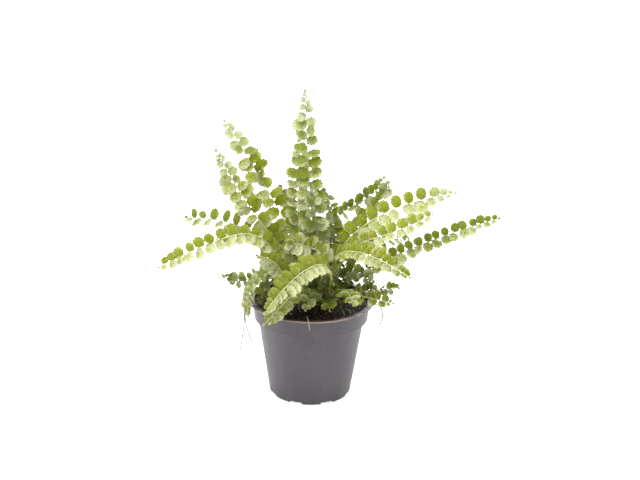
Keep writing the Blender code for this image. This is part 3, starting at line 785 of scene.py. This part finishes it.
def crumb_kinds():
    """Crumbs of peat, flakes of bark and short sticks, a unit across, of 20 faces each."""
    kinds = new_collection("crumb_kinds")
    draw = np.random.default_rng(5)
    shapes = ((1, 1, 0.8), (1, 0.8, 0.7), (1.2, 0.9, 0.35), (2.6, 0.45, 0.4), (1, 1, 1))
    for number, scale in enumerate(shapes):
        shape = bmesh.new()
        bmesh.ops.create_icosphere(shape, subdivisions=1, radius=0.5)
        for corner in shape.verts:
            corner.co *= draw.uniform(0.75, 1.2)
        bmesh.ops.scale(shape, vec=scale, verts=shape.verts)
        kinds.objects.link(bpy.data.objects.new(f"crumb_{number}", as_mesh("crumb", shape)))
    return kinds


def crumb_tree():
    """Scatters crumbs over the upward faces and joins them to the soil."""
    inputs = {
        "Crumb Kinds": "Collection",
        "Crumbs per m2": "Float",
        "Smallest": "Float",
        "Largest": "Float",
        "Seed": "Int",
        "Material": "Material",
    }
    tree, node, given = new_tree("soil_crumbs", inputs)
    top = node("GeometryNodeInputNamedAttribute", {"Name": "top"}, data_type="FLOAT")
    where = {"Mesh": given["Geometry"], "Selection": top, "Density": given["Crumbs per m2"]}
    points = node("GeometryNodeDistributePointsOnFaces", {**where, "Seed": given["Seed"]})
    kinds = node(
        "GeometryNodeCollectionInfo",
        {"Collection": given["Crumb Kinds"], "Separate Children": True, "Reset Children": True},
    )
    turn = node(
        "FunctionNodeRandomValue",
        {"Min": (0.0, 0.0, 0.0), "Max": (6.28, 6.28, 6.28), "Seed": given["Seed"]},
        data_type="FLOAT_VECTOR",
    )
    # Most crumbs are small
    chance = node("FunctionNodeRandomValue", {"Seed": 3}, data_type="FLOAT")
    small = node("ShaderNodeMath", {0: chance, 1: 2.5}, operation="POWER")
    size = node(
        "ShaderNodeMapRange",
        {"Value": small, "To Min": given["Smallest"], "To Max": given["Largest"]},
    )
    copies = node(
        "GeometryNodeInstanceOnPoints",
        {"Points": points, "Instance": kinds, "Pick Instance": True, "Rotation": turn, "Scale": size},
    )
    tone = node("FunctionNodeRandomValue", {"Seed": 8}, data_type="FLOAT")
    marked = node(
        "GeometryNodeStoreNamedAttribute",
        {"Geometry": copies, "Name": "tone", "Value": tone},
        data_type="FLOAT",
        domain="INSTANCE",
    )
    crumbs = node("GeometryNodeRealizeInstances", {"Geometry": marked})
    both = node("GeometryNodeJoinGeometry")
    feed(both, {"Geometry": given["Geometry"]})
    feed(both, {"Geometry": crumbs})
    done = node("GeometryNodeSetMaterial", {"Geometry": both, "Material": given["Material"]})
    node("NodeGroupOutput", {"Geometry": done})
    return tree


def build_soil(finish):
    """The soil: a closed fill with a cloddy top, and loose crumbs on it."""
    points, rings = [(0, 0, FLOOR_TOP + SOIL_GAP)], []

    def add_ring(radius, height_at):
        rings.append(len(points))
        for k in range(SOIL_TURNS):
            x, y, _ = polar(radius, 360 * k / SOIL_TURNS)
            points.append((x, y, height_at(x, y)))

    for level in (FLOOR_TOP, STEP_FOOT, STEP_TOP):
        add_ring(inner_radius(level) - SOIL_GAP, lambda x, y, z=level: z + SOIL_GAP)
    edge = inner_radius(SOIL_EDGE) - SOIL_GAP
    first_top = len(rings)
    for k in range(SOIL_RINGS):
        add_ring(edge * (1 - k / SOIL_RINGS), soil_height)
    points.append((0, 0, soil_height(0, 0)))
    faces = []
    turns = [(k, (k + 1) % SOIL_TURNS) for k in range(SOIL_TURNS)]
    faces += [(0, rings[0] + n, rings[0] + k) for k, n in turns]
    for low, high in zip(rings, rings[1:]):
        faces += [(low + k, low + n, high + n, high + k) for k, n in turns]
    faces += [(rings[-1] + k, rings[-1] + n, len(points) - 1) for k, n in turns]
    mesh = bpy.data.meshes.new("soil_seed")
    mesh.from_pydata(points, [], faces)
    mesh.shade_smooth()
    count = len(points)
    store(mesh, "top", [float(k >= rings[first_top]) for k in range(count)])
    store(mesh, "tone", [SOIL_TONE] * count)
    kinds = crumb_kinds()
    settings = {
        "Crumb Kinds": kinds,
        "Crumbs per m2": CRUMBS_PER_M2,
        "Smallest": CRUMB_SIZE[0],
        "Largest": CRUMB_SIZE[1],
        "Seed": 4,
        "Material": finish,
    }
    result = grown("soil_seed", mesh, crumb_tree(), settings)
    clear(kinds)
    add_piece("potting_soil", result, "soil", "soil")


def bezier(p0, p1, p2, p3, count):
    """Points along a cubic curve."""
    t = np.linspace(0, 1, count)[:, None]
    return (1 - t) ** 3 * p0 + 3 * t * (1 - t) ** 2 * p1 + 3 * t**2 * (1 - t) * p2 + t**3 * p3


class Rib:
    """The line of a frond: straight up out of the soil, then along its curve.

    The upper face looks the given way halfway along the blade. From there it is carried
    both ways along the rib without twisting.
    """

    def __init__(self, row):
        (ring, azimuth), rise, shoulder, tip, (turn, pitch), bare = row[:6]
        root = np.array(polar(ring * MM, azimuth))
        rise, shoulder, tip = (np.array(p) * MM for p in (rise, shoulder, tip))
        start = root + (0, 0, STEM_STRAIGHT)
        curve = bezier(start, rise, shoulder, tip, CURVE_POINTS)
        self.points = np.vstack([root + (0, 0, STEM_FOOT), curve])
        steps = np.linalg.norm(np.diff(self.points, axis=0), axis=1)
        self.along = np.concatenate([[0], np.cumsum(steps)])
        self.length = self.along[-1]
        self.bare = bare * MM
        face = np.array(polar(math.cos(math.radians(pitch)), turn, math.sin(math.radians(pitch))))
        headings = [self.heading(s) for s in self.along]
        self.normals = np.zeros_like(self.points)
        middle = int(np.searchsorted(self.along, (self.bare + self.length) / 2))
        self.normals[middle] = square_to(face, headings[middle])
        for k in range(middle + 1, len(self.points)):
            self.normals[k] = square_to(self.normals[k - 1], headings[k])
        for k in range(middle - 1, -1, -1):
            self.normals[k] = square_to(self.normals[k + 1], headings[k])

    def at(self, s):
        return np.array([np.interp(s, self.along, self.points[:, k]) for k in range(3)])

    def heading(self, s):
        reach = 1.5 * MM
        return unit(self.at(min(s + reach, self.length)) - self.at(max(s - reach, 0)))

    def axes(self, s):
        """The rib's heading, its left side and the normal of its upper face at s."""
        heading = self.heading(s)
        near = np.array([np.interp(s, self.along, self.normals[:, k]) for k in range(3)])
        normal = square_to(near, heading)
        return heading, np.cross(normal, heading), normal


def leaflet_size(share, taper):
    """Leaflet size along the blade, 0 at its foot and 1 at its tip."""
    start = min(1.0, FIRST_SIZE + GROWTH * share)
    end = 1 - taper * max(0.0, (share - TAPER_START) / (1 - TAPER_START)) ** TAPER_POWER
    return start * end


def leaflet_stations(blade, spacing, taper):
    """Places of the pairs as shares of the blade, and each pair's room along it."""
    pairs = max(3, round(blade / spacing))
    rooms = [leaflet_size((k + 0.5) / pairs, taper) ** 0.8 for k in range(pairs)]
    rooms = [room / sum(rooms) for room in rooms]
    starts = np.concatenate([[0], np.cumsum(rooms)])
    return [((a + b) / 2, (b - a) * blade) for a, b in zip(starts, starts[1:])]


def leaflet_kinds():
    """Round leaflets a unit long: foot at the origin, +Y out from the rib, +Z the upper face.

    Each is a thin lens: a cupped upper sheet and an under sheet that share a scalloped rim.
    """
    kinds = new_collection("leaflet_kinds")
    draw = np.random.default_rng(21)
    for number in range(LEAFLET_KINDS):
        cup, curl, wave = draw.uniform(0.02, 0.1), draw.uniform(0.02, 0.12), draw.uniform(0.03, 0.07)
        skew, phase = draw.uniform(-0.08, 0.08), draw.uniform(0, 6.28)

        def spot(x, y):
            lift = -cup * (2 * x) ** 2 - curl * y**2
            lift += wave * math.sin(5 * math.atan2(x, y - 0.5) + phase) * math.hypot(x, y - 0.5)
            return Vector((x + skew * y, y, lift))

        rim = [(-LEAFLET_NECK, 0.0)]
        for k in range(LEAFLET_MARGIN):
            turn = math.radians(LEAFLET_ARC * (k / (LEAFLET_MARGIN - 1) - 0.5))
            reach = 1 + CRENATION * (1 if k % 2 else -1) + draw.uniform(-SCALLOP_SPREAD, SCALLOP_SPREAD)
            square_off = math.copysign(abs(math.sin(turn)) ** 0.8, turn)
            rim.append((0.5 * reach * square_off, 0.5 + 0.5 * reach * math.cos(turn)))
        rim.append((LEAFLET_NECK, 0.0))
        ring = [(LEAFLET_RING * x, 0.52 + LEAFLET_RING * (y - 0.52)) for x, y in rim[::2]]
        shape = bmesh.new()
        uv = shape.loops.layers.uv.new("UVMap")
        edge_mark = shape.verts.layers.float.new("rim")
        outer = [shape.verts.new(spot(x, y)) for x, y in rim]
        inner = [shape.verts.new(spot(x, y)) for x, y in ring]
        middle = shape.verts.new(spot(0, 0.55))
        below = shape.verts.new(spot(0, 0.55) - Vector((0, 0, LEAFLET_THICKNESS)))
        for corner in outer:
            corner[edge_mark] = 1.0
        # Low enough that the dark margin is as narrow on the under sheet as on the upper one
        below[edge_mark] = -1.2
        count, half = len(outer), len(inner)
        for k in range(half):
            n = (k + 1) % half
            a, b, c = outer[2 * k], outer[2 * k + 1], outer[(2 * k + 2) % count]
            for face in ((inner[k], a, b), (inner[k], b, inner[n]), (inner[n], b, c)):
                shape.faces.new(face)
            shape.faces.new((middle, inner[k], inner[n]))
        for k in range(count):
            shape.faces.new((below, outer[(k + 1) % count], outer[k]))
        bmesh.ops.recalc_face_normals(shape, faces=shape.faces)
        for edge in shape.edges:
            edge.smooth = edge.verts[0] not in outer or edge.verts[1] not in outer
        for face in shape.faces:
            face.smooth = True
            for corner in face.loops:
                corner[uv].uv = (0.5 + corner.vert.co.x / 1.3, corner.vert.co.y)
        kinds.objects.link(bpy.data.objects.new(f"leaflet_{number}", as_mesh("leaflet", shape)))
    return kinds


def frond_tree():
    """Turns a rib line into a round stalk, and sets a leaflet on each foot point."""
    inputs = {
        "Leaflet Kinds": "Collection",
        "Rib Sides": "Int",
        "Tile Tilt": "Float",
        "Angle Spread": "Float",
        "Size Spread": "Float",
        "Seed": "Int",
        "Leaf Material": "Material",
        "Rib Material": "Material",
    }
    tree, node, given = new_tree("fern_frond", inputs)
    foot, thickness, side = (
        node("GeometryNodeInputNamedAttribute", {"Name": mark}, data_type="FLOAT")
        for mark in ("foot", "thickness", "side")
    )
    outward, upward, full_size = (
        node("GeometryNodeInputNamedAttribute", {"Name": mark}, data_type="FLOAT_VECTOR")
        for mark in ("outward", "upward", "size")
    )
    parts = node("GeometryNodeSeparateGeometry", {"Geometry": given["Geometry"], "Selection": foot})
    # The stalk
    line = node("GeometryNodeMeshToCurve", {"Mesh": parts.outputs["Inverted"]})
    circle = node("GeometryNodeCurvePrimitiveCircle", {"Resolution": given["Rib Sides"], "Radius": 1.0})
    stalk = node(
        "GeometryNodeCurveToMesh",
        {"Curve": line, "Profile Curve": circle, "Scale": thickness, "Fill Caps": True},
    )
    stalk = node("GeometryNodeSetMaterial", {"Geometry": stalk, "Material": given["Rib Material"]})
    # The leaflets look out from the rib
    aim = node(
        "FunctionNodeAxesToRotation",
        {"Primary Axis": outward, "Secondary Axis": upward},
        primary_axis="Y",
        secondary_axis="Z",
    )
    # Most turn only a little and a few turn far: the cube of a number between -1 and 1
    chance = node(
        "FunctionNodeRandomValue",
        {"Min": (-1.0, -1.0, -1.0), "Max": (1.0, 1.0, 1.0), "Seed": given["Seed"]},
        data_type="FLOAT_VECTOR",
    )
    squared = node("ShaderNodeVectorMath", {0: chance, 1: chance}, operation="MULTIPLY")
    cubed = node("ShaderNodeVectorMath", {0: squared, 1: chance}, operation="MULTIPLY")
    turns = node("ShaderNodeVectorMath", {0: cubed, "Scale": given["Angle Spread"]}, operation="SCALE")
    # Each lifts its edge towards the tip, over the next one
    tile = node("ShaderNodeMath", {0: side, 1: given["Tile Tilt"]}, operation="MULTIPLY")
    tip_up = node("ShaderNodeCombineXYZ", {"Y": tile})
    angles = node("ShaderNodeVectorMath", {0: turns, 1: tip_up}, operation="ADD")
    nudge = node("FunctionNodeEulerToRotation", {"Euler": angles})
    turned = node(
        "FunctionNodeRotateRotation", {"Rotation": aim, "Rotate By": nudge}, rotation_space="LOCAL"
    )
    smaller, larger = (
        node("ShaderNodeMath", {0: 1.0, 1: given["Size Spread"]}, operation=way)
        for way in ("SUBTRACT", "ADD")
    )
    change = node(
        "FunctionNodeRandomValue",
        {"Min": smaller, "Max": larger, "Seed": given["Seed"]},
        data_type="FLOAT",
    )
    size = node("ShaderNodeVectorMath", {0: full_size, "Scale": change}, operation="SCALE")
    kinds = node(
        "GeometryNodeCollectionInfo",
        {"Collection": given["Leaflet Kinds"], "Separate Children": True, "Reset Children": True},
    )
    copies = node(
        "GeometryNodeInstanceOnPoints",
        {"Points": parts, "Instance": kinds, "Pick Instance": True, "Rotation": turned, "Scale": size},
    )
    leaves = node("GeometryNodeRealizeInstances", {"Geometry": copies})
    leaves = node("GeometryNodeSetMaterial", {"Geometry": leaves, "Material": given["Leaf Material"]})
    both = node("GeometryNodeJoinGeometry")
    feed(both, {"Geometry": stalk})
    feed(both, {"Geometry": leaves})
    node("NodeGroupOutput", {"Geometry": both})
    return tree


def build_frond(name, row, number, tree, kinds, leaf, stalk):
    """One frond: its rib line and leaflet feet as a seed mesh, which the tree grows."""
    length, lift, age = row[6] * MM, row[7], row[8]
    rib = Rib(row)
    draw = np.random.default_rng(number + 1)
    reach = np.linspace(0, rib.length, max(24, int(rib.length / RIB_STEP)))
    points = [rib.at(s) for s in reach]
    count = len(points)
    # What each point tells the tree and the materials, along the rib and then for the leaflets
    marks = {
        "foot": [0.0] * count,
        "side": [0.0] * count,
        "thickness": [STIPE_RADIUS + (TIP_RADIUS - STIPE_RADIUS) * s / rib.length for s in reach],
        "share": [s / rib.length for s in reach],
        "tone": [0.5] * count,
        "new_and_backlit": [0.0] * count,
        "sere": [0.0] * count,
        "outward": [(0, 0, 1)] * count,
        "upward": [(0, 1, 0)] * count,
        "size": [(1, 1, 1)] * count,
    }
    habit = FROND_HABITS.get(name, "open")
    spacing, overlap, stretch, turn, taper = HABITS[habit]
    # How strongly pointing up, and the runs, paint a leaflet green as lit through or pale as sheen
    up_lit_through, run_lit_through = (0.9, 0.3) if habit in ORDERED_HABITS else (0.5, 0.6)
    blade = rib.length - rib.bare - BARE_TIP
    rise, lean = math.radians(lift), math.radians(LEAFLET_LEAN)
    runs = draw.uniform(0, 10, 2)
    pairs = leaflet_stations(blade, spacing * length, taper)
    stations = [(rib.bare + share * blade, share, room) for share, room in pairs]
    low = STEM_STRAIGHT - STEM_FOOT + LOWEST_LEAFLET
    low_pairs = int((rib.bare - low) / LOW_SPACING)
    stations += [(low + (k + 0.5) * LOW_SPACING, 0.0, LOW_ROOM * LOW_SPACING) for k in range(low_pairs)]
    leaflets = []
    for place, share, room in stations:
        long = stretch * length * leaflet_size(share, taper)
        wide = min(overlap * room, LONG_LIMIT * long)
        leaflets += [(place + side * STAGGER * room, side, share, wide, long) for side in (1, -1)]
    # A last small leaflet goes on from the tip
    leaflets.append((rib.length - 0.5 * MM, 0, 1.0, *(part * length for part in TIP_LEAFLET)))
    for s, side, share, wide, long in leaflets:
        along, left, normal = rib.axes(s)
        out = unit(math.cos(lean) * side * left + math.sin(lean) * along)
        out = unit(math.cos(rise) * out + math.sin(rise) * normal)
        x, y, z = rib.at(s)
        points.append((x, y, z))
        # Painted light: leaflets that point up are painted green, as light coming through them, and those
        # that point down pale, as sheen. Green and pale also come in runs of painted light
        run = noise.noise(Vector((4 * share, runs[(side + 1) // 2], number)))
        inside = np.interp(math.hypot(x, y), INSIDE_BAND, (1, 0))
        low_down = np.interp(z, LOW_BAND, (1, 0))
        painted_light = FROND_SHADES.get(name, 0.0) + LOW_SHADE_GREENER * low_down + INSIDE_SHADE_GREENER * inside * low_down
        painted_light += up_lit_through * out[2] + run_lit_through * run
        tone = np.clip(TONE_MIDDLE + painted_light + draw.normal(0, TONE_SPREAD), 0, 1)
        # Pale tips: new growth along the blade, and painted backlight glare by height
        new_and_backlit = np.interp(z, BACKLIT_BAND, (0, 1)) * np.interp(share, (FRESH_SHARE, 1), (0, 1))
        sere = SERE_DEPTH * float(z < SERE_BELOW and draw.random() < SERE_CHANCE)
        told = (1.0, side, 0.0, share, tone, new_and_backlit, sere, out, normal, (wide, long, long))
        for mark, value in zip(marks.values(), told):
            mark.append(value)
    mesh = bpy.data.meshes.new("frond_seed")
    mesh.from_pydata(points, [(k, k + 1) for k in range(count - 1)], [])
    for mark, values in marks.items():
        store(mesh, mark, values)
    settings = {
        "Leaflet Kinds": kinds,
        "Rib Sides": RIB_SIDES,
        "Tile Tilt": math.radians(TILE_TILT),
        "Angle Spread": math.radians(turn),
        "Size Spread": SIZE_SPREAD,
        "Seed": number,
        "Leaf Material": leaf,
        "Rib Material": stalk,
    }
    result = grown("frond_seed", mesh, tree, settings)
    add_piece("leafy_" + name, result, "frond_" + name, "frond_" + age)


def smooth_path(points, count):
    """An even curve through the points: a Catmull-Rom spline."""
    ends = [2 * points[0] - points[1], *points, 2 * points[-1] - points[-2]]
    path = [points[0]]
    for a, b, c, d in zip(ends, ends[1:], ends[2:], ends[3:]):
        for t in np.linspace(0, 1, count + 1)[1:]:
            bend = (2 * a - 5 * b + 4 * c - d) * t**2 + (3 * b - a - 3 * c + d) * t**3
            path.append(b + 0.5 * ((c - a) * t + bend))
    return path


def build_runner(name, row, finish):
    """A thin round strand from its hole in the soil to its free end."""
    root = np.array((*row[0], 0.0)) * MM
    route = [root + (0, 0, STEM_STRAIGHT), *(np.array(p) * MM for p in row[1:])]
    path = [root + (0, 0, STEM_FOOT), *smooth_path(route, 6)]
    draw = np.random.default_rng(len(name))
    shape = bmesh.new()
    mark = shape.verts.layers.float.new("share")
    side = np.array((*unit(root[:2]), 0.0))
    rings = []
    for k, centre in enumerate(path):
        along = unit(path[min(k + 1, len(path) - 1)] - path[max(k - 1, 0)])
        side = square_to(side, along)
        other = np.cross(along, side)
        share = k / (len(path) - 1)
        radius = RUNNER_RADIUS + (RUNNER_TIP_RADIUS - RUNNER_RADIUS) * share
        radius *= draw.uniform(0.92, 1.08)
        ring = []
        for n in range(RUNNER_SIDES):
            angle = 2 * math.pi * n / RUNNER_SIDES
            spot = centre + radius * (math.cos(angle) * side + math.sin(angle) * other)
            ring.append(shape.verts.new(spot))
            ring[-1][mark] = share
        rings.append(ring)
    for low, high in zip(rings, rings[1:]):
        for n in range(RUNNER_SIDES):
            m = (n + 1) % RUNNER_SIDES
            shape.faces.new((low[n], low[m], high[m], high[n]))
    shape.faces.new(tuple(reversed(rings[0])))
    shape.faces.new(tuple(rings[-1]))
    bmesh.ops.recalc_face_normals(shape, faces=shape.faces)
    mesh = as_mesh("strand", shape)
    mesh.shade_smooth()
    add_piece("strand_" + name, mesh, name, "runner", finish)


def main():
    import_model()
    add_camera()
    add_studio()
    build_pot(pot_material())
    build_soil(soil_material())
    leaves = {age: leaf_material(f"fern_leaf_{age}", *row) for age, row in LEAF_COLOURS.items()}
    stalks = {age: stalk_material(f"fern_stalk_{age}", *row) for age, row in STALK_COLOURS.items()}
    kinds, tree = leaflet_kinds(), frond_tree()
    for number, (name, row) in enumerate(FRONDS.items()):
        build_frond(name, row, number, tree, kinds, leaves[row[-1]], stalks[row[-1]])
    clear(kinds)
    straw = runner_material()
    for name, row in RUNNERS.items():
        build_runner(name, row, straw)


main()
